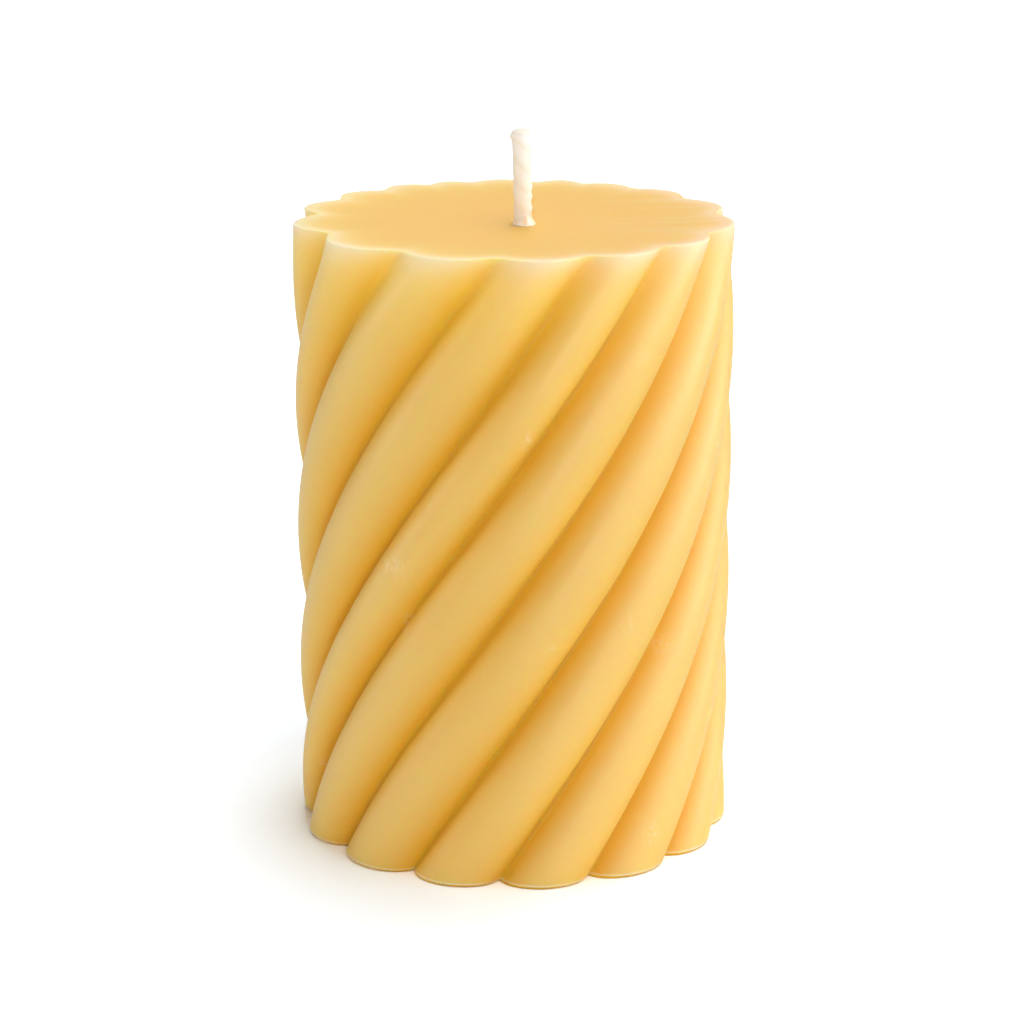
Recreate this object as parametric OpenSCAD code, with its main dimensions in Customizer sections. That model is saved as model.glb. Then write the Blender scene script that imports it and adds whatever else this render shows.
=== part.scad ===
// Spiral pillar candle: a cast beeswax pillar with twisted flutes, its primed
// cotton wick, the skirt of wax at the wick's foot and the sustainer in the base.
// Millimetres. The base stands on z = 0, and the pillar's axis is +Z.

/* [Pillar] */
// Diameter over the crests of the flutes
pillar_d = 70; // [60:1:120]
// Height of the wax, from the base to the top rim
pillar_h = 100; // [60:1:220]
// Rounding of the top rim
top_round = 0.8; // [0.2:0.1:2]
// Rounding of the base rim
base_round = 0.8; // [0.2:0.1:2]
// How far the middle of the top sank while the wax cooled
top_sink = 0.6; // [0.1:0.1:2]

/* [Flutes] */
// Number of flutes round the pillar
flute_count = 14; // [10:2:20]
// Depth of the grooves between the flutes
groove_depth = 3.8; // [1.5:0.1:6]
// Turn of the flutes from the base to the top, in degrees
flute_turn = 130; // [0:1:240]
// Direction of one crest at the base, in degrees from +X
flute_start = 19.5; // [0:0.5:36]
// Fullness of a flute: a lower value gives a flatter crest and steeper sides
flute_power = 0.75; // [0.5:0.05:1]
// Softness of the bottom of the grooves
groove_soft = 0.12; // [0.05:0.01:0.5]

/* [Wick] */
// Diameter of the primed cotton wick
wick_d = 2.8; // [1.5:0.1:4]
// Length of wick that stands above the wax
wick_free = 15.5; // [6:0.5:25]
// Place of the wick along X, from the pillar's axis
wick_x = 1.4; // [-4:0.1:4]
// Place of the wick along Y, from the pillar's axis
wick_y = -3; // [-4:0.1:4]
// Room round the wick in the hole that the casting pin leaves
wick_clear = 0.05; // [0.02:0.01:0.2]

/* [Skirt at the wick's foot] */
// Height of the skirt up the wick
collar_h = 1.8; // [0.8:0.1:4]
// Width of the skirt's foot, beyond the wick
collar_foot = 0.5; // [0.2:0.1:1.5]
// Thickness of the skirt's upper edge
collar_lip = 0.1; // [0.05:0.05:0.15]

/* [Sustainer] */
// Diameter of the steel disc
sustainer_d = 20; // [14:1:30]
// Thickness of the steel sheet
sheet_t = 0.4; // [0.2:0.05:0.6]
// Height of the crimped neck, with the disc
neck_h = 7; // [3:0.5:12]
// Room between the sustainer's edges and the wax
seat_clear = 0.2; // [0.05:0.05:0.5]
// How far the disc sits up inside the base
disc_recess = 0.3; // [0.1:0.1:1]

/* [Hidden] */
$fn = 64;

// Fineness of the fluted skin
points_per_flute = 8;
ring_rise = 4;
rim_steps = 2;
sink_steps = 3;
arc_step = 15;

// Flat round the wick's foot, where the skirt stands
foot_margin = 1;
foot_r = norm([wick_x, wick_y]) + wick_d / 2 + collar_foot + foot_margin;
foot_z = pillar_h - top_sink;

wick_hole_r = wick_d / 2 + wick_clear;
neck_r = wick_hole_r + sheet_t;
disc_top = disc_recess + sheet_t;
cut_past = 1;
ring_points = flute_count * points_per_flute;
wall_h = pillar_h - base_round - top_round;
wall_steps = ceil(wall_h / ring_rise);

// Height of a flute over the groove as a softened power of the cosine, from 1 on the crest
// at 0 degrees to its least value in the groove at 90 degrees
function arch(a) =
    pow((pow(cos(a), 2) + pow(groove_soft, 2)) / (1 + pow(groove_soft, 2)), flute_power / 2);

// Radius of the fluted outline at its point i, counted from a crest
function flute_r(i) =
    pillar_d / 2 - groove_depth * (1 - arch(180 * i / points_per_flute)) / (1 - arch(90));

// One ring of the skin: the outline at height z, turned with the flutes and set in by inset.
// Its share falls from 1, the outline itself, to 0, the circle round the wick's foot
function ring(z, inset, share) = [
    for (i = [0 : ring_points - 1])
        let (r = foot_r + share * (flute_r(i) - inset - foot_r))
        let (a = flute_start + flute_turn * z / pillar_h + 360 * i / ring_points)
        [r * cos(a), r * sin(a), z]
];

// The skin's rings from the base face up: base rim, wall, top rim and the sunk top
base_rim = [
    for (k = [0 : rim_steps])
        let (a = 90 * k / rim_steps)
        ring(base_round * (1 - cos(a)), base_round * (1 - sin(a)), 1)
];
wall = [for (k = [1 : wall_steps - 1]) ring(base_round + wall_h * k / wall_steps, 0, 1)];
top_rim = [
    for (k = [rim_steps : -1 : 0])
        let (a = 90 * k / rim_steps)
        ring(pillar_h - top_round * (1 - cos(a)), top_round * (1 - sin(a)), 1)
];
sunk_top = [
    for (k = [sink_steps - 1 : -1 : 0])
        let (t = k / sink_steps)
        ring(pillar_h - top_sink * (1 - t * t), top_round, t)
];
rings = concat(base_rim, wall, top_rim, sunk_top);

// Closed fluted solid: a band of triangles between each two rings, and a flat face at each end
module fluted_solid() {
    n = ring_points;
    last = len(rings) - 1;
    bands = [
        for (j = [0 : last - 1], i = [0 : n - 1])
            let (a = j * n + i, b = j * n + (i + 1) % n)
            each [[a, a + n, b + n], [a, b + n, b]]
    ];
    base_face = [for (i = [0 : n - 1]) i];
    top_face = [for (i = [n - 1 : -1 : 0]) last * n + i];
    polyhedron(points = [for (r = rings) each r], faces = concat(bands, [base_face, top_face]));
}

// Moves its children to the wick's line
module on_wick(z = 0) {
    translate([wick_x, wick_y, z]) children();
}

// The beeswax casting, with the wick's hole and the sustainer's seat
module wax_body() {
    color("#e9be66")
    difference() {
        fluted_solid();
        on_wick(-cut_past) {
            cylinder(r = wick_hole_r, h = pillar_h + 2 * cut_past);
            cylinder(r = neck_r + seat_clear, h = cut_past + disc_recess + neck_h + seat_clear);
            cylinder(r = sustainer_d / 2 + seat_clear, h = cut_past + disc_top);
        }
    }
}

// The cotton wick, from the sustainer's underside to its cut end above the wax
module wick() {
    color("#faf0dc")
    on_wick(disc_recess)
        cylinder(d = wick_d, h = foot_z + wick_free - disc_recess);
}

// The skirt of primer wax that creeps up the wick: a hollow quarter arc turned round it
module wick_collar() {
    foot = collar_foot - collar_lip;
    color("#f3dfb4")
    on_wick(foot_z)
        rotate_extrude()
            translate([wick_hole_r, 0])
                polygon(concat(
                    [[0, 0]],
                    [for (a = [0 : arc_step : 90])
                        [collar_lip + foot * (1 - sin(a)), collar_h * (1 - cos(a))]],
                    [[0, collar_h]]
                ));
}

// The sustainer: a pressed steel disc with its neck crimped round the wick
module wick_sustainer() {
    color("#c4c6c8")
    on_wick(disc_recess)
        difference() {
            union() {
                cylinder(d = sustainer_d, h = sheet_t);
                cylinder(r = neck_r, h = neck_h);
            }
            translate([0, 0, -cut_past])
                cylinder(r = wick_hole_r, h = neck_h + 2 * cut_past);
        }
}

wax_body();
wick();
wick_collar();
wick_sustainer();
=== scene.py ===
import math

import bpy
import numpy as np
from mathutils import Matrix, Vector


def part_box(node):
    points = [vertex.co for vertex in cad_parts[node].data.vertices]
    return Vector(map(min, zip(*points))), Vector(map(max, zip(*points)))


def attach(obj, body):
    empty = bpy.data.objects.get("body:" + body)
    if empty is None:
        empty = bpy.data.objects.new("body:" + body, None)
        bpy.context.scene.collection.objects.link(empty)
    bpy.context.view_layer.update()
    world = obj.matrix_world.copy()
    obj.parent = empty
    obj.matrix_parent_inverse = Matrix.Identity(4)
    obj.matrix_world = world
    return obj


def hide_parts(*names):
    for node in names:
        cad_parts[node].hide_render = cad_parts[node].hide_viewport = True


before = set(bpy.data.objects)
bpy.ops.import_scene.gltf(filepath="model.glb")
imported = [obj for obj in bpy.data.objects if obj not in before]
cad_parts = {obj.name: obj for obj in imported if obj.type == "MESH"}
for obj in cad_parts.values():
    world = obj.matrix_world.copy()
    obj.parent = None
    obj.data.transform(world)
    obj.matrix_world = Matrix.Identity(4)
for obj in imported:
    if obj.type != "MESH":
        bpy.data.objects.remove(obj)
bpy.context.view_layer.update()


# Beeswax pillar
# One casting from a soft mould with twisted flutes: full round crests, tight grooves, and a top that
# sank a little as the wax cooled. A pin in the mould leaves the hole that the wick fills.
MM = 0.001
wax_low, wax_high = (np.array(corner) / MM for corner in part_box("wax_body"))
wick_low, wick_high = (np.array(corner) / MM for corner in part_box("wick"))
collar_low, collar_high = (np.array(corner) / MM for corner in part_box("wick_collar"))
disc_low, disc_high = (np.array(corner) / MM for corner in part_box("wick_sustainer"))
pillar_r = min((wax_high - wax_low)[:2]) / 2
pillar_h = wax_high[2]
foot_z = collar_low[2]
wick_at = (wick_low[:2] + wick_high[:2]) / 2
wick_r = (wick_high[0] - wick_low[0]) / 2
wick_clear = 0.05
wick_hole_r = wick_r + wick_clear
disc_r = (disc_high[0] - disc_low[0]) / 2
sheet_t = 0.4
seat_clear = 0.2

flute_count = 14
groove_depth = 3.8
flute_turn = math.radians(130)
flute_start = math.radians(18.2)
flute_power = 0.34
groove_soft = 0.05
rim_round = 0.25
base_bevel = 0.45
base_corner = 1.25
top_flat = 0.12

# Fineness of the skin: points across a flute, rings on each stretch, and rings just above the base rim
points_per_flute = 32
base_rings = 8
rim_rings = 7
wall_rings = 144
top_rings = 27
hole_rings = 7
above_base = np.array([0.1, 0.22, 0.4])

# How far each groove strays from even spacing, in degrees, going round
groove_stray = np.radians([-0.5, -1, -2, -3.5, 1, 3, -1.2, -1.3, 0.1, 0.6, 1, 2, 1, 0])

# Towards the rim the grooves run out: softer all round, shallower at the front right, and each shifted by
# its own angle. Towards the base they all turn on a little
rim_reach = 6
rim_soft = 0.4
rim_depth = 0.85
rim_depth_swing = 0.35
rim_depth_at = math.radians(-60)
rim_shift = np.radians([-11, -11.5, -6, 3, 0.6, -2.8, -0.8, -3, -1, 0, 0, 0, 0, -5])
shift_reach = 10
base_shift = math.radians(2.4)
base_reach = 15

# Round the far half of the rim, where the top was trimmed, they go over to smaller uneven scallops: the
# angles of the scallops' grooves, their form, and the sines between which they come in
scallop_grooves = np.radians([-17, 6, 30, 52, 69, 83, 103, 116, 133, 152, 175, 198])
scallop_depth = 2.4
scallop_set_in = 0.8
scallop_reach = 2.4
scallop_share = 0.85
far_from = -0.1
far_full = 0.3

# Light in the wax goes a few millimetres deep, deeper in the glow under the rim, which is weaker at the
# right, and less deep at the thin edges of the rim and the base. The same glow is also painted into the
# wax's colour as painted light
glow_reach = 8
glow_loss = 0.75
glow_loss_at = -0.2
wax_light = 3
glow_light = 2.5
edge_loss = 0.75
rim_edge = 1.5
base_edge = 0.8

# Honey fades into amber from the crests to the grooves as painted shade, the top lies between, and the bevel
# is amber, painted as in shade, under a fine pale line that is a painted highlight
crest_power = 1.15
top_crest = 0.4
amber_below = 0.9 * base_bevel
pale_line = 0.12

# Pale marks where the wax was knocked: degrees round, height, half width, half height, strength
scuffs = np.array([
    [-86.5, 72.3, 0.6, 1.4, 0.9], [-122, 51.3, 2.0, 1.6, 0.7], [-80.3, 39.3, 0.7, 0.7, 0.8],
    [-59.7, 42.4, 0.8, 1.2, 0.7], [-51, 6.2, 1.3, 2.0, 0.6], [-160, 11.8, 0.8, 0.8, 0.8],
    [-121, 41, 0.6, 2.0, 0.7], [-46, 37, 1.2, 1.2, 0.4], [-24, 67, 0.6, 2.2, 0.5],
    [-30.5, 61.7, 0.6, 2.0, 0.5], [-56, 84, 1.2, 1.0, 0.4], [-143.5, 99.6, 0.8, 0.5, 1.0],
    [-128.5, 99.8, 6.0, 0.35, 0.9], [-37, 99.8, 4.0, 0.5, 0.8], [-32, 99.5, 0.8, 0.6, 0.8],
    [28, 99.8, 0.8, 0.5, 1.0],
])


def flute_place(around, shifted):
    """Place across its flute of each angle round the pillar, one turn a flute with the crest at 0 and
    the groove at half a turn: straight lines between grooves that stray a little from even spacing.
    The angle is first moved back by the part of the rim's own shift that is reached at its height."""
    spare = 2
    flute = np.arange(-spare, flute_count + spare)
    groove = (flute + 0.5) * 2 * np.pi / flute_count + groove_stray[flute % flute_count]
    shift = rim_shift[flute % flute_count]
    around = around - shifted * np.interp(around, groove + shift, shift)
    return np.interp(around, groove, (flute + 0.5) * 2 * np.pi)


def flute_rise(place, softness):
    """Rise of a flute, 1 on its crest and 0 in the groove: the squared cosine of half its place plus a
    small constant that softens the groove, to a power that keeps the crest broad."""
    soft = softness**2
    arch = ((np.cos(place / 2) ** 2 + soft) / (1 + soft)) ** (flute_power / 2)
    least = (soft / (1 + soft)) ** (flute_power / 2)
    return (arch - least) / (1 - least)


def station(z, share=1.0, inset=0.0, circle=0.0, turn_z=None):
    """A run of rings as columns: height, share of the fluted outline, how far that outline is set in,
    radius of the circle round the wick that fills the rest, and the height that sets the ring's turn."""
    z = np.atleast_1d(np.asarray(z, float))
    turn_z = z if turn_z is None else turn_z
    return np.stack(np.broadcast_arrays(z, share, inset, circle, turn_z), 1)


def quarter(steps):
    """Sine and cosine along a quarter turn, ends included."""
    a = np.linspace(0, np.pi / 2, steps)
    return np.sin(a), np.cos(a)


def pillar_rings():
    """Rings of the pillar's closed skin: out over the base, up the wall, in over the sunk top and down
    the wick's hole, so that the skin joins up with itself. The base rim is a superellipse's quarter, the
    top rim a circle's, and the top sinks as a square down to a flat round the wick."""
    seat_r = disc_r + seat_clear
    neck_r = wick_hole_r + sheet_t + seat_clear
    seat_z = disc_low[2] + sheet_t
    neck_z = disc_high[2] + seat_clear
    sine, cosine = quarter(rim_rings)
    base = station(0, np.linspace(0, 1, base_rings + 1)[:-1], base_bevel, seat_r)
    corner = 2 / base_corner
    base_rim = station(base_bevel * (1 - cosine**corner), 1, base_bevel * (1 - sine**corner))
    above_rim = station(base_bevel + above_base)
    wall = station(np.linspace(base_bevel, pillar_h - rim_round, wall_rings + 2)[1:-1])
    sine, cosine = sine[::-1], cosine[::-1]
    top_rim = station(pillar_h - rim_round * (1 - cosine), 1, rim_round * (1 - sine))
    share = np.linspace(1, 0, top_rings + 1)[1:]
    run = np.clip((share - top_flat) / (1 - top_flat), 0, 1)
    top_z = pillar_h - (pillar_h - foot_z) * (1 - run**2)
    top = station(top_z, share, rim_round, wick_hole_r, pillar_h)
    hole = station(np.linspace(foot_z, neck_z, hole_rings + 1)[1:], 0, 0, wick_hole_r)
    neck = station([neck_z, seat_z], 0, 0, neck_r, 0)
    seat = station([seat_z], 0, 0, seat_r, 0)
    return np.concatenate([base, base_rim, above_rim, wall, top_rim, top, hole, neck, seat])


def scuff_marks(angle, along):
    """How scuffed the skin is: the sum of one soft round spot for each scuff, at its angle and height and
    as wide and high as its row says."""
    turn = (np.degrees(angle)[..., None] - scuffs[:, 0] + 180) % 360 - 180
    across = np.radians(turn) * pillar_r / scuffs[:, 2]
    above = (along[..., None] - scuffs[:, 1]) / scuffs[:, 3]
    return np.sum(scuffs[:, 4] * np.exp(-across**2 - above**2), -1)


def pillar_surface():
    """Points of the skin and its marks, ring by ring. Each ring is the fluted outline, turned with its
    height and drawn in by its share towards a circle round the wick. Near the rim the grooves soften,
    run out and shift, and round the far half the outline goes over to the scallops, which are set in by
    the fourth power of the sine. The marks are how high the skin stands on its flute (for the painted shade
    of the grooves), how far it lies from the rim, how much it glows there (a painted glow in the colour),
    how deep light goes, both lengths in millimetres, how near it is to the pale line over the base (a
    painted highlight), whether it is the top, and how scuffed it is."""
    z, share, inset, circle, turn_z = (column[:, None] for column in pillar_rings().T)
    around = np.linspace(0, 2 * np.pi, flute_count * points_per_flute, endpoint=False)[None, :]
    turn = flute_turn * turn_z / pillar_h + base_shift * np.exp(-turn_z / base_reach)
    angle = flute_start + turn + around
    near_rim = np.exp((turn_z - pillar_h) / rim_reach)
    shifted = np.exp((turn_z - pillar_h) / shift_reach)
    place = flute_place(around, shifted)
    softness = groove_soft + rim_soft * shifted
    left_over = rim_depth - rim_depth_swing * np.cos(angle - rim_depth_at)
    depth = groove_depth * (1 - near_rim * (1 - left_over))
    outline = pillar_r - depth * (1 - flute_rise(place, softness))
    scallop_turns = 2 * np.pi * (np.arange(len(scallop_grooves)) + 0.5)
    from_front = (angle + np.pi / 2) % (2 * np.pi) - np.pi / 2
    scallop = flute_rise(np.interp(from_front, scallop_grooves, scallop_turns), softness)
    scallop_r = pillar_r - scallop_set_in * np.sin(angle) ** 4 - scallop_depth * (1 - scallop)
    far = np.clip((np.sin(angle) - far_from) / (far_full - far_from), 0, 1)
    broken = scallop_share * np.exp((turn_z - pillar_h) / scallop_reach) * far**2 * (3 - 2 * far)
    outline = outline + broken * (scallop_r - outline)
    radius = circle + share * (outline - inset - circle)
    x = (1 - share) * wick_at[0] + radius * np.cos(angle)
    y = (1 - share) * wick_at[1] + radius * np.sin(angle)
    grid = np.stack([x, y, np.broadcast_to(z, x.shape)], -1)
    top = np.broadcast_to((share < 1) & (z > pillar_h / 2), x.shape)
    along = np.where(share == 1, z, pillar_h + (1 - share) * pillar_r)
    from_rim = np.broadcast_to(np.abs(along - pillar_h), x.shape)
    crest = np.where(share == 1, np.abs(np.cos(place / 2)) ** crest_power, top_crest)
    lit_side = np.clip(np.cos(angle - glow_loss_at), 0, 1)
    glow = np.exp(-from_rim / glow_reach) * (1 - glow_loss * lit_side)
    edge = np.maximum(np.exp(-from_rim / rim_edge), np.exp(-z / base_edge))
    from_line = (z - base_bevel - pale_line) / pale_line
    return grid, {
        "crest": np.where(z < amber_below, 0, crest),
        "from_rim": from_rim,
        "glow": glow,
        "light_depth": (wax_light + glow_light * glow) * (1 - edge_loss * edge),
        "base_highlight": np.broadcast_to(np.exp(-(from_line**2)), x.shape),
        "top": top.astype(float),
        "scuff": scuff_marks(angle, along),
    }


def skin(name, grid, ends, marks=None):
    """A smooth mesh over rings of points: four neighbours make a face and each ring closes on itself.
    The end rings are joined to each other ("loop") or each closed to its own middle ("fan"). Each mark
    becomes an attribute of the points."""
    count, points = grid.shape[:2]
    index = np.arange(count * points).reshape(count, points)
    vertices = grid.reshape(-1, 3)
    ladder = np.vstack([index, index[:1]]) if ends == "loop" else index
    lower, upper = ladder[:-1], ladder[1:]
    faces = np.stack([lower, np.roll(lower, -1, 1), np.roll(upper, -1, 1), upper], -1)
    faces = faces.reshape(-1, 4).tolist()
    if ends == "fan":
        first, last = len(vertices), len(vertices) + 1
        vertices = np.vstack([vertices, grid[0].mean(0), grid[-1].mean(0)])
        bottom, top = index[0], index[-1]
        faces += [[first, b, a] for a, b in zip(bottom.tolist(), np.roll(bottom, -1).tolist())]
        faces += [[last, a, b] for a, b in zip(top.tolist(), np.roll(top, -1).tolist())]
    mesh = bpy.data.meshes.new(name)
    mesh.from_pydata((vertices * MM).tolist(), [], faces)
    mesh.shade_smooth()
    for mark, values in (marks or {}).items():
        values = np.ravel(values)
        if ends == "fan":
            values = np.concatenate([values, [values[:points].mean(), values[-points:].mean()]])
        mesh.attributes.new(mark, "FLOAT", "POINT").data.foreach_set("value", values)
    piece = bpy.data.objects.new(name, mesh)
    bpy.context.scene.collection.objects.link(piece)
    return piece


def linear(code):
    """Linear colour, with full alpha, of an sRGB hex code."""
    parts = np.array([int(code[i : i + 2], 16) for i in (1, 3, 5)]) / 255
    bright = np.where(parts <= 0.04045, parts / 12.92, ((parts + 0.055) / 1.055) ** 2.4)
    return (*bright.tolist(), 1.0)


def add(tree, kind, inputs=None, **settings):
    """One shader node: settings are its own properties, and inputs gives sockets a value or a link."""
    node = tree.nodes.new(kind)
    for name, value in settings.items():
        setattr(node, name, value)
    for socket, value in (inputs or {}).items():
        if isinstance(value, bpy.types.NodeSocket):
            tree.links.new(value, node.inputs[socket])
        else:
            node.inputs[socket].default_value = value
    return node


def blank_material(name):
    """A new material with an empty node tree, and its tree."""
    material = bpy.data.materials.new(name)
    material.use_nodes = True
    material.node_tree.nodes.clear()
    return material, material.node_tree


def cast_beeswax():
    """Cast beeswax: satin, and lit from within a few millimetres deep. The grooves are painted deep amber as
    shade and the crests honey yellow, painted a little lighter towards the base as bounce light and brighter
    in a painted glow under the rim that is weaker at the right. The top is warmer, with faint cut streaks at
    its right, and the rim, where light passes through, is painted pale as a glow, with a painted highlight
    as a pale line over the base. Where the wax was knocked it has a dull pale bloom, and a fine bloom all
    over catches the light along the flutes' edges."""
    mottle_size, grain_size, fleck_size, streak_width = 14 * MM, 0.5 * MM, 0.8 * MM, 4 * MM
    painted_bounce_h, streaks_from, streaks_full = 45 * MM, 4 * MM, 30 * MM
    rim_width = 2.2
    material, tree = blank_material("cast_beeswax")
    place = add(tree, "ShaderNodeTexCoord").outputs["Object"]
    axes = add(tree, "ShaderNodeSeparateXYZ", {"Vector": place})
    crest, from_rim, glow, light_depth, base_highlight, top, scuff = (
        add(tree, "ShaderNodeAttribute", attribute_name=mark).outputs["Fac"]
        for mark in ("crest", "from_rim", "glow", "light_depth", "base_highlight", "top", "scuff")
    )
    mottle = add(tree, "ShaderNodeTexNoise", {"Vector": place, "Scale": 1 / mottle_size, "Detail": 3})
    grain = add(tree, "ShaderNodeTexNoise", {"Vector": place, "Scale": 1 / grain_size, "Detail": 2})
    fleck = add(tree, "ShaderNodeTexNoise", {"Vector": place, "Scale": 1 / fleck_size, "Detail": 4})

    # Honey on the crests, amber in the grooves as painted shade, the honey painted lighter towards the base
    # as bounce light, and both brighter in the painted glow under the rim
    honey = add(
        tree, "ShaderNodeMix",
        {"Factor": mottle.outputs[0], "A": linear("#EAC35F"), "B": linear("#EEC969")},
        data_type="RGBA",
    )
    # Painted bounce light: the honey is lighter towards the base
    to_base = add(
        tree, "ShaderNodeMapRange",
        {"Value": axes.outputs["Z"], "From Min": 0.0, "From Max": painted_bounce_h, "To Min": 0.6, "To Max": 0.0},
    )
    light_honey = add(
        tree, "ShaderNodeMix",
        {"Factor": to_base.outputs[0], "A": honey.outputs["Result"], "B": linear("#F6CF6E")},
        data_type="RGBA",
    )
    lit_honey = add(
        tree, "ShaderNodeMix",
        {"Factor": glow, "A": light_honey.outputs["Result"], "B": linear("#FFD85C")},
        data_type="RGBA",
    )
    lit_amber = add(
        tree, "ShaderNodeMix",
        {"Factor": glow, "A": linear("#E6AC0C"), "B": linear("#FFD214")},
        data_type="RGBA",
    )
    body = add(
        tree, "ShaderNodeMix",
        {"Factor": crest, "A": lit_amber.outputs["Result"], "B": lit_honey.outputs["Result"]},
        data_type="RGBA",
    )

    # The top inside the painted glow, then the pale rim, a painted glow of light through the thin edge, and
    # the base line, a painted highlight, both paler on the crests than in the grooves
    inner = add(tree, "ShaderNodeMath", {0: 1.0, 1: glow}, operation="SUBTRACT")
    on_inner = add(tree, "ShaderNodeMath", {0: inner.outputs[0], 1: top}, operation="MULTIPLY")
    tinted = add(
        tree, "ShaderNodeMix",
        {"Factor": on_inner.outputs[0], "A": body.outputs["Result"], "B": linear("#F2B742")},
        data_type="RGBA",
    )
    rim = add(tree, "ShaderNodeMath", {0: math.exp(-1 / rim_width), 1: from_rim}, operation="POWER")
    bright = add(tree, "ShaderNodeMath", {0: rim.outputs[0], 1: base_highlight}, operation="MAXIMUM")
    raised = add(tree, "ShaderNodeMath", {0: crest, 1: top}, operation="MAXIMUM")
    weight = add(
        tree, "ShaderNodeMath", {0: raised.outputs[0], 1: 0.4, 2: 0.35}, operation="MULTIPLY_ADD",
    )
    thin = add(
        tree, "ShaderNodeMath", {0: bright.outputs[0], 1: weight.outputs[0]}, operation="MULTIPLY",
    )
    pale = add(
        tree, "ShaderNodeMix",
        {"Factor": thin.outputs[0], "A": tinted.outputs["Result"], "B": linear("#FEE8D2")},
        data_type="RGBA",
    )

    # The bloom of the scuffs, broken up by flecks, and of the cut streaks on the top
    along_cut = add(tree, "ShaderNodeMapping", {"Vector": place, "Scale": (0.1, 1.0, 1.0)})
    cut = add(
        tree, "ShaderNodeTexNoise",
        {"Vector": along_cut.outputs[0], "Scale": 1 / streak_width, "Detail": 2},
    )
    to_right = add(
        tree, "ShaderNodeMapRange",
        {"Value": axes.outputs["X"], "From Min": streaks_from, "From Max": streaks_full,
         "To Min": 0.0, "To Max": 0.16},
    )
    streak = add(
        tree, "ShaderNodeMapRange",
        {"Value": cut.outputs[0], "From Min": 0.48, "From Max": 0.7,
         "To Min": 0.0, "To Max": to_right.outputs[0]},
    )
    on_top = add(tree, "ShaderNodeMath", {0: streak.outputs[0], 1: top}, operation="MULTIPLY")
    broken = add(
        tree, "ShaderNodeMapRange",
        {"Value": fleck.outputs[0], "From Min": 0.4, "From Max": 0.66, "To Min": 0.0, "To Max": 0.7},
    )
    knock = add(tree, "ShaderNodeMath", {0: scuff, 1: broken.outputs[0]}, operation="MULTIPLY")
    bloom = add(
        tree, "ShaderNodeMath", {0: knock.outputs[0], 1: on_top.outputs[0]},
        operation="ADD", use_clamp=True,
    )
    colour = add(
        tree, "ShaderNodeMix",
        {"Factor": bloom.outputs[0], "A": pale.outputs["Result"], "B": linear("#F8E4B4")},
        data_type="RGBA",
    )

    # Roughness: duller in the bloom and at the rim, smoother on the crests
    dull = add(
        tree, "ShaderNodeMath", {0: bloom.outputs[0], 1: 0.25, 2: 0.68}, operation="MULTIPLY_ADD",
    )
    worn = add(
        tree, "ShaderNodeMath", {0: rim.outputs[0], 1: 0.2, 2: dull.outputs[0]}, operation="MULTIPLY_ADD",
    )
    gloss = add(
        tree, "ShaderNodeMath", {0: crest, 1: -0.25, 2: worn.outputs[0]}, operation="MULTIPLY_ADD",
    )
    depth = add(tree, "ShaderNodeMath", {0: light_depth, 1: MM}, operation="MULTIPLY")
    bump = add(
        tree, "ShaderNodeBump",
        {"Height": grain.outputs[0], "Strength": 0.06, "Distance": 0.2 * MM},
    )
    wax = add(
        tree, "ShaderNodeBsdfPrincipled",
        {"Base Color": colour.outputs["Result"], "Roughness": gloss.outputs[0], "IOR": 1.44,
         "Specular IOR Level": 0.6, "Sheen Weight": 0.35, "Sheen Roughness": 0.12,
         "Sheen Tint": linear("#FFF6E6"), "Subsurface Weight": 1.0,
         "Subsurface Radius": (1.0, 0.45, 0.16), "Subsurface Scale": depth.outputs[0],
         "Normal": bump.outputs["Normal"]},
    )
    add(tree, "ShaderNodeOutputMaterial", {"Surface": wax.outputs["BSDF"]})
    return material


grid, marks = pillar_surface()
pillar = skin("pillar", grid, "loop", marks)
pillar.data.materials.append(cast_beeswax())
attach(pillar, "root")
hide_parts("wax_body")


# Sustainer
# A pressed disc of tinned steel let into the base, with a rolled edge, a ring coined into its underside
# and a neck drawn up in the middle, which is crimped onto the wick at four places.
edge_round = sheet_t / 2
neck_fillet = 0.6
ring_at = 6.0
ring_half = 0.5
ring_depth = 0.12
crimp_count = 4
crimp_z = 4.0
crimp_half = 1.2
crimp_depth = 0.25
crimp_power = 8
neck_margin = 0.01

# Fineness of the sheet's skin: points round it, and rings on each stretch
disc_points = 96
under_rings = 60
edge_rings = 8
over_rings = 18
fillet_rings = 7
neck_rings = 29
neck_bore_rings = 18


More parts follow.
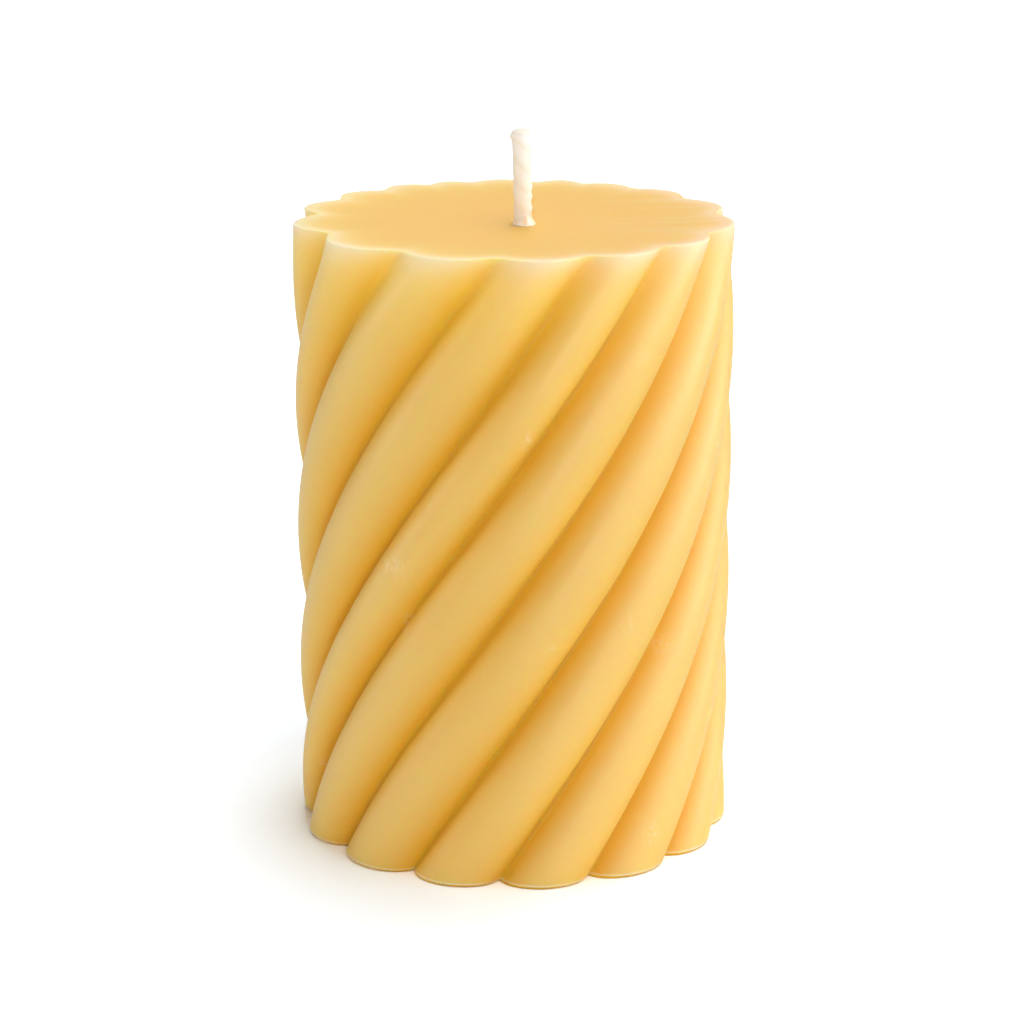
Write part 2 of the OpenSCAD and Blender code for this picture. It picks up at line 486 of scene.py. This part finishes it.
def sustainer_surface():
    """Points of the sheet's closed skin, ring by ring: out over the underside with its coined ring, round
    the edge, in over the disc, up the neck and down its bore. The neck is dented at each crimp by a high
    power of the cosine round it and a bell curve along it."""
    bottom, top = disc_low[2], disc_high[2]
    bore_r = wick_hole_r
    neck_r = bore_r + sheet_t
    under_r = np.linspace(bore_r, disc_r - edge_round, under_rings)
    under_z = bottom + ring_depth * np.exp(-(((under_r - ring_at) / ring_half) ** 2))
    turn = np.linspace(-np.pi / 2, np.pi / 2, edge_rings + 1)[1:]
    edge_r = disc_r - edge_round + edge_round * np.cos(turn)
    edge_z = bottom + edge_round + edge_round * np.sin(turn)
    over_r = np.linspace(disc_r - edge_round, neck_r + neck_fillet, over_rings + 2)[1:-1]
    over_z = np.full(over_rings, bottom + sheet_t)
    sine, cosine = quarter(fillet_rings)
    fillet_r = neck_r + neck_fillet * (1 - sine)
    fillet_z = bottom + sheet_t + neck_fillet * (1 - cosine)
    wall_r = np.full(neck_rings, neck_r)
    wall_z = np.linspace(bottom + sheet_t + neck_fillet, top - edge_round, neck_rings + 1)[1:]
    lip = np.linspace(0, np.pi, edge_rings + 1)[1:]
    lip_r = neck_r - edge_round + edge_round * np.cos(lip)
    lip_z = top - edge_round + edge_round * np.sin(lip)
    inner_r = np.full(neck_bore_rings, bore_r)
    inner_z = np.linspace(top - edge_round, bottom, neck_bore_rings + 2)[1:-1]
    radius = np.concatenate([under_r, edge_r, over_r, fillet_r, wall_r, lip_r, inner_r])
    z = np.concatenate([under_z, edge_z, over_z, fillet_z, wall_z, lip_z, inner_z])
    around = np.linspace(0, 2 * np.pi, disc_points, endpoint=False)[None, :]
    on_neck = np.abs(radius - neck_r) <= neck_margin
    dent = crimp_depth * on_neck * np.exp(-(((z - crimp_z) / crimp_half) ** 2))
    radius = radius[:, None] - dent[:, None] * np.cos(crimp_count / 2 * around) ** crimp_power
    x = wick_at[0] + radius * np.cos(around)
    y = wick_at[1] + radius * np.sin(around)
    return np.stack([x, y, np.broadcast_to(z[:, None], x.shape)], -1)


def tinned_steel():
    """Tinned steel sheet: bright grey metal with a soft gloss, broken by cloudy tin grains a few
    millimetres wide and by fine rolling marks."""
    grain_width, mark_width = 3 * MM, 0.4 * MM
    material, tree = blank_material("tinned_steel")
    place = add(tree, "ShaderNodeTexCoord").outputs["Object"]
    along_roll = add(tree, "ShaderNodeMapping", {"Vector": place, "Scale": (1.0, 0.06, 1.0)})
    grains = add(tree, "ShaderNodeTexVoronoi", {"Vector": place, "Scale": 1 / grain_width})
    rolling = add(
        tree, "ShaderNodeTexNoise",
        {"Vector": along_roll.outputs[0], "Scale": 1 / mark_width, "Detail": 3},
    )
    tin = add(
        tree, "ShaderNodeMix",
        {"Factor": grains.outputs["Color"], "A": linear("#BFC1C2"), "B": linear("#D2D4D3")},
        data_type="RGBA",
    )
    gloss = add(
        tree, "ShaderNodeMapRange",
        {"Value": rolling.outputs[0], "From Min": 0.3, "From Max": 0.7, "To Min": 0.22, "To Max": 0.4},
    )
    bump = add(
        tree, "ShaderNodeBump",
        {"Height": rolling.outputs[0], "Strength": 0.1, "Distance": 0.05 * MM},
    )
    sheet = add(
        tree, "ShaderNodeBsdfPrincipled",
        {"Base Color": tin.outputs["Result"], "Metallic": 1.0, "Roughness": gloss.outputs[0],
         "Normal": bump.outputs["Normal"]},
    )
    add(tree, "ShaderNodeOutputMaterial", {"Surface": sheet.outputs["BSDF"]})
    return material


sustainer = skin("sustainer", sustainer_surface(), "loop")
sustainer.data.materials.append(tinned_steel())
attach(sustainer, "root")
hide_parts("wick_sustainer")


# Wick
# Two plies of cotton twisted to the left, primed with pale wax so that the cord stands by itself. It
# goes down through the whole pillar into the sustainer's neck, and its top was cut with a small burr.
cut_drop = 0.4
wick_top = wick_high[2] - cut_drop
tip_round = 0.55
tip_power = 0.6
ply_count = 2
ply_lead = 7.0
ply_depth = 0.11
ply_power = 0.7
fibre_count = 33
fibre_depth = 0.02
fibre_lay = 0.6

# Above the skirt the cord is a little fuller, and its free length leans to the left
swell = 0.07
swell_reach = 3
lean = 0.3
lean_over = 15

# Bumps up the right side, between two heights over the foot, and the burr at the left under the cut
bump_pitch = 1.7
bump_height = 0.09
bumps_from = 2
bumps_to = 8.5
bumps_fade = 0.5
burr_height = 0.4
burr_below = 1.2
burr_half = 0.5
burr_spread = 0.5

# Fineness of the cord: points round it, and rings on its hidden part, its free part and its tip
wick_points = 96
hidden_rings = 39
shown_rings = 130
tip_rings = 10
fine_from = foot_z - 1


def wick_surface():
    """Points of the cord and its mark, ring by ring. The radius is a round cord's, cut in between the
    plies by a power of the cosine of the place across a ply, with fine ridges for the fibres, waves for
    the bumps, a bell-shaped burr and a round tip. The mark is 1 on a ply and 0 between."""
    hidden = np.linspace(wick_low[2], fine_from, hidden_rings + 1)[:-1]
    shown = np.linspace(fine_from, wick_top - tip_round, shown_rings)
    rounding = np.linspace(0, np.pi / 2, tip_rings + 2)[1:-1]
    tip = wick_top - tip_round + tip_round * np.sin(rounding)
    z = np.concatenate([hidden, shown, tip])[:, None]
    straight = np.ones(hidden_rings + shown_rings)
    drawn_in = np.concatenate([straight, np.cos(rounding) ** tip_power])[:, None]
    around = np.linspace(0, 2 * np.pi, wick_points, endpoint=False)[None, :]
    twist = 2 * np.pi * z / ply_lead
    ply = np.abs(np.cos(ply_count * (around + twist) / 2)) ** ply_power
    fibres = fibre_depth * np.cos(fibre_count * (around + fibre_lay * twist))
    over_foot = z - foot_z
    bumpy = np.clip(over_foot / bumps_from, 0, 1) / (1 + np.exp((over_foot - bumps_to) / bumps_fade))
    at_right = np.clip(np.cos(around), 0, 1) ** 2
    bumps = bump_height * bumpy * at_right * np.cos(2 * np.pi * z / bump_pitch)
    below_cut = (z - wick_top + burr_below) / burr_half
    at_left = (around - np.pi) / burr_spread
    burr = burr_height * np.exp(-(below_cut**2) - at_left**2)
    fuller = swell * np.clip((z - collar_high[2]) / swell_reach, 0, 1)
    radius = wick_r + fuller - ply_depth * (1 - ply) + fibres + bumps + burr
    leaning = lean * np.clip(over_foot / lean_over, 0, None) ** 2
    x = wick_at[0] - leaning + drawn_in * radius * np.cos(around)
    y = wick_at[1] + drawn_in * radius * np.sin(around)
    return np.stack([x, y, np.broadcast_to(z, x.shape)], -1), {"ply": ply}


def primed_cotton():
    """Cotton soaked in pale wax: cream on the plies, painted a little darker between them as shade in the
    crevices, a little darker towards the foot, and beige at the cut. It has fibre streaks along the lay, a
    matt surface and a little light through it, less at the foot."""
    fibre_width = 0.3 * MM
    darker_from, darker_full = (foot_z + 12.6) * MM, (foot_z + 0.6) * MM
    cut_from, cut_full = (wick_top - 1.1) * MM, (wick_top - 0.2) * MM
    light_from, light_full = (foot_z + 1) * MM, (foot_z + 5) * MM
    material, tree = blank_material("primed_cotton")
    place = add(tree, "ShaderNodeTexCoord").outputs["Object"]
    up = add(tree, "ShaderNodeSeparateXYZ", {"Vector": place}).outputs["Z"]
    ply = add(tree, "ShaderNodeAttribute", attribute_name="ply").outputs["Fac"]
    along_fibre = add(tree, "ShaderNodeMapping", {"Vector": place, "Scale": (1.0, 1.0, 0.2)})
    fibre = add(
        tree, "ShaderNodeTexNoise",
        {"Vector": along_fibre.outputs[0], "Scale": 1 / fibre_width, "Detail": 3},
    )
    streak = add(
        tree, "ShaderNodeMath", {0: fibre.outputs[0], 1: 0.5, 2: -0.25}, operation="MULTIPLY_ADD",
    )
    raised = add(
        tree, "ShaderNodeMath", {0: ply, 1: streak.outputs[0]}, operation="ADD", use_clamp=True,
    )
    # Painted shade: the cotton is a little darker between the plies
    cotton = add(
        tree, "ShaderNodeMix",
        {"Factor": raised.outputs[0], "A": linear("#F6EEE4"), "B": linear("#FCF9F5")},
        data_type="RGBA",
    )
    # A little darker towards the foot
    to_foot = add(
        tree, "ShaderNodeMapRange",
        {"Value": up, "From Min": darker_from, "From Max": darker_full, "To Min": 0.0, "To Max": 0.8},
    )
    primed = add(
        tree, "ShaderNodeMix",
        {"Factor": to_foot.outputs[0], "A": cotton.outputs["Result"], "B": linear("#F3EADF")},
        data_type="RGBA",
    )
    to_cut = add(
        tree, "ShaderNodeMapRange",
        {"Value": up, "From Min": cut_from, "From Max": cut_full, "To Min": 0.0, "To Max": 0.5},
    )
    cut = add(
        tree, "ShaderNodeMix",
        {"Factor": to_cut.outputs[0], "A": primed.outputs["Result"], "B": linear("#E2CFB0")},
        data_type="RGBA",
    )
    depth = add(
        tree, "ShaderNodeMapRange",
        {"Value": up, "From Min": light_from, "From Max": light_full,
         "To Min": 0.4 * MM, "To Max": 2 * MM},
    )
    bump = add(
        tree, "ShaderNodeBump",
        {"Height": fibre.outputs[0], "Strength": 0.6, "Distance": 0.15 * MM},
    )
    cord = add(
        tree, "ShaderNodeBsdfPrincipled",
        {"Base Color": cut.outputs["Result"], "Roughness": 0.7, "IOR": 1.45,
         "Specular IOR Level": 0.3, "Subsurface Weight": 1.0,
         "Subsurface Radius": (1.0, 1.0, 1.0), "Subsurface Scale": depth.outputs[0],
         "Normal": bump.outputs["Normal"]},
    )
    add(tree, "ShaderNodeOutputMaterial", {"Surface": cord.outputs["BSDF"]})
    return material


grid, marks = wick_surface()
wick = skin("wick_cord", grid, "fan", marks)
wick.data.materials.append(primed_cotton())
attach(wick, "root")
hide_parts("wick")


# Wick collar
# A thin skirt of primer wax that crept up the wick's foot as the pillar cooled: flared, uneven and pleated.
# Its bore and upper edge run into the wick, and its lip into the top of the pillar.
collar_foot_r = (collar_high[0] - collar_low[0]) / 2
collar_h = collar_high[2] - collar_low[2]
bore_sunk = 0.1
edge_sunk = 0.06
foot_sunk = 0.15
lip_h = 0.12
pleats = 7
pleat_depth = 0.08
pleat_stray = 1.2
pleat_at = 0.7

# The upper edge, as shares of the full height: its middle, a tilt and ripples, and the foot's likewise
edge_middle = 0.8
edge_tilt = 0.12
tilt_at = 0.4
edge_ripple = 0.07
ripples = 5
ripple_at = 1
foot_middle = 0.9
foot_swing = 0.09

# Fineness of the skirt: points round it, and rings on its lip, its flare and its bore
collar_points = 72
lip_rings = 3
flare_rings = 15
collar_bore_rings = 12


def collar_surface():
    """Points of the skirt's closed skin, ring by ring: out under its foot, round the lip, up a flare that
    narrows as the square of the way down, over the thin edge and down the bore. Its height and flare
    vary with the angle round the wick by a few slow waves, and the pleats are a cosine whose angle strays.
    The mark is 1 on a pleat and 0 between."""
    around = np.linspace(0, 2 * np.pi, collar_points, endpoint=False)[None, :]
    ripple = edge_ripple * np.cos(ripples * around + ripple_at)
    height = collar_h * (edge_middle + edge_tilt * np.cos(around - tilt_at) + ripple)
    foot_r = collar_foot_r * (foot_middle + foot_swing * np.cos(around))
    edge_r = wick_r - edge_sunk
    fold = np.cos(pleats * around + pleat_stray * np.sin(2 * around) + pleat_at)
    lip = np.linspace(0, 1, lip_rings + 1)[:-1, None]
    lip_r = np.broadcast_to(foot_r, (lip_rings, collar_points))
    lip_z = np.broadcast_to(foot_z - foot_sunk + (lip_h + foot_sunk) * lip, lip_r.shape)
    rise = np.linspace(0, 1, flare_rings)[:, None]
    flare_r = edge_r + (foot_r - edge_r) * (1 - rise) ** 2 + pleat_depth * fold * (1 - rise)
    flare_z = foot_z + lip_h + (height - lip_h) * rise
    bore_r = np.full((collar_bore_rings, collar_points), wick_r - bore_sunk)
    bore_z = foot_z + height * np.linspace(1, 0, collar_bore_rings)[:, None]
    radius = np.concatenate([lip_r, flare_r, bore_r])
    z = np.concatenate([lip_z, flare_z, bore_z])
    x = wick_at[0] + radius * np.cos(around)
    y = wick_at[1] + radius * np.sin(around)
    on_flare = np.broadcast_to(0.5 + 0.5 * fold, flare_r.shape)
    folded = np.concatenate([np.ones_like(lip_r), on_flare, np.ones_like(bore_r)])
    return np.stack([x, y, z], -1), {"fold": folded}


def primer_wax():
    """Pale primer wax: satin, cloudy and creased, cream on the pleats and painted a little darker between
    them as shade in the crevices.
    """
    cloud_size = 0.5 * MM
    material, tree = blank_material("primer_wax")
    place = add(tree, "ShaderNodeTexCoord").outputs["Object"]
    fold = add(tree, "ShaderNodeAttribute", attribute_name="fold").outputs["Fac"]
    along_wick = add(tree, "ShaderNodeMapping", {"Vector": place, "Scale": (1.0, 1.0, 0.4)})
    cloud = add(
        tree, "ShaderNodeTexNoise",
        {"Vector": along_wick.outputs[0], "Scale": 1 / cloud_size, "Detail": 3},
    )
    cloudy = add(
        tree, "ShaderNodeMath", {0: cloud.outputs[0], 1: 2.0, 2: -1.0}, operation="MULTIPLY_ADD",
    )
    raised = add(
        tree, "ShaderNodeMath", {0: fold, 1: cloudy.outputs[0]}, operation="ADD", use_clamp=True,
    )
    # Painted shade: a little darker between the pleats
    colour = add(
        tree, "ShaderNodeMix",
        {"Factor": raised.outputs[0], "A": linear("#F2D6AE"), "B": linear("#FCF2E4")},
        data_type="RGBA",
    )
    bump = add(
        tree, "ShaderNodeBump",
        {"Height": cloud.outputs[0], "Strength": 0.5, "Distance": 0.2 * MM},
    )
    wax = add(
        tree, "ShaderNodeBsdfPrincipled",
        {"Base Color": colour.outputs["Result"], "Roughness": 0.45, "IOR": 1.44,
         "Normal": bump.outputs["Normal"]},
    )
    add(tree, "ShaderNodeOutputMaterial", {"Surface": wax.outputs["BSDF"]})
    return material


grid, marks = collar_surface()
collar = skin("collar", grid, "loop", marks)
collar.data.materials.append(primer_wax())
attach(collar, "root")
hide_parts("wick_collar")


# Floor, light and camera
# A white paper sweep under soft light: two broad lamps high at the right, one to the front and one to the
# back, weaker low ones at the right, front and left, and an even white room. The camera looks down a little.
floor_half = 3.0
floor_mesh = bpy.data.meshes.new("floor")
floor_mesh.from_pydata(
    [(-floor_half, -floor_half, 0), (floor_half, -floor_half, 0),
     (floor_half, floor_half, 0), (-floor_half, floor_half, 0)],
    [], [(0, 1, 2, 3)],
)
floor = bpy.data.objects.new("floor", floor_mesh)
bpy.context.scene.collection.objects.link(floor)

# The paper is exposed to white for the camera alone, and lights the object as plain paper does
paper_seen = (1.28, 1.38, 1.5, 1.0)
material, tree = blank_material("white_paper")
ray = add(tree, "ShaderNodeLightPath")
exposed = add(
    tree, "ShaderNodeMix",
    {"Factor": ray.outputs["Is Camera Ray"], "A": linear("#F4F7FC"), "B": paper_seen},
    data_type="RGBA",
)
paper = add(tree, "ShaderNodeBsdfDiffuse", {"Color": exposed.outputs["Result"]})
add(tree, "ShaderNodeOutputMaterial", {"Surface": paper.outputs[0]})
floor_mesh.materials.append(material)

# The room is white where it is seen, and only a weak fill as light
room_fill = 0.12
room_white = (1, 1, 1, 1)
world = bpy.data.worlds.new("studio")
bpy.context.scene.world = world
world.use_nodes = True
world.node_tree.nodes.clear()
tree = world.node_tree
ray = add(tree, "ShaderNodeLightPath")
seen = add(
    tree, "ShaderNodeMath", {0: ray.outputs["Is Camera Ray"], 1: ray.outputs["Is Glossy Ray"]},
    operation="MAXIMUM",
)
seen = add(
    tree, "ShaderNodeMath", {0: seen.outputs[0], 1: ray.outputs["Is Transmission Ray"]},
    operation="MAXIMUM",
)
fill = add(tree, "ShaderNodeBackground", {"Color": room_white, "Strength": room_fill})
white = add(tree, "ShaderNodeBackground", {"Color": room_white, "Strength": 1.0})
both = add(tree, "ShaderNodeMixShader", {0: seen.outputs[0], 1: fill.outputs[0], 2: white.outputs[0]})
add(tree, "ShaderNodeOutputWorld", {"Surface": both.outputs[0]})


def soft_lamp(name, side, height, energy, breadth=40):
    """A soft lamp far off, at an angle to the right of the viewer and an angle above the floor, as broad
    as an angle seen from the object. All angles are in degrees."""
    lamp = bpy.data.lights.new(name, "SUN")
    lamp.energy = energy
    lamp.angle = math.radians(breadth)
    holder = bpy.data.objects.new(name, lamp)
    bpy.context.scene.collection.objects.link(holder)
    side, height = math.radians(side), math.radians(height)
    towards = (math.cos(height) * math.sin(side), -math.cos(height) * math.cos(side), math.sin(height))
    holder.rotation_euler = Vector(towards).to_track_quat("Z", "Y").to_euler()
    return holder


soft_lamp("front_right", 45, 60, 1.08)
soft_lamp("back_right", 155, 68, 1.5)
soft_lamp("right_low", 90, 6, 1.08, 25)
soft_lamp("front_low", 10, 6, 1.13, 25)
soft_lamp("left_low", 270, 6, 0.82, 25)

# A broad card at the right, which shows only in the gloss
card = soft_lamp("right_card", 75, 6, 6.5, 80)
card.visible_diffuse = False
card.visible_transmission = False

# The view: the camera's place in millimetres, its pitch in radians, and its focal length and the picture's
# width in pixels
camera_at = (-0.3, -488.9, 192.9)
camera_pitch = 0.2816
focal_px = 3137.0
picture_px = 1024
sensor_mm = 36
camera_data = bpy.data.cameras.new("camera")
camera_data.sensor_width = sensor_mm
camera_data.lens = focal_px / picture_px * sensor_mm
camera = bpy.data.objects.new("camera", camera_data)
camera.location = [along * MM for along in camera_at]
camera.rotation_euler = (math.pi / 2 - camera_pitch, 0, 0)
bpy.context.scene.collection.objects.link(camera)
bpy.context.scene.camera = camera
bpy.context.scene.view_settings.view_transform = "Standard"
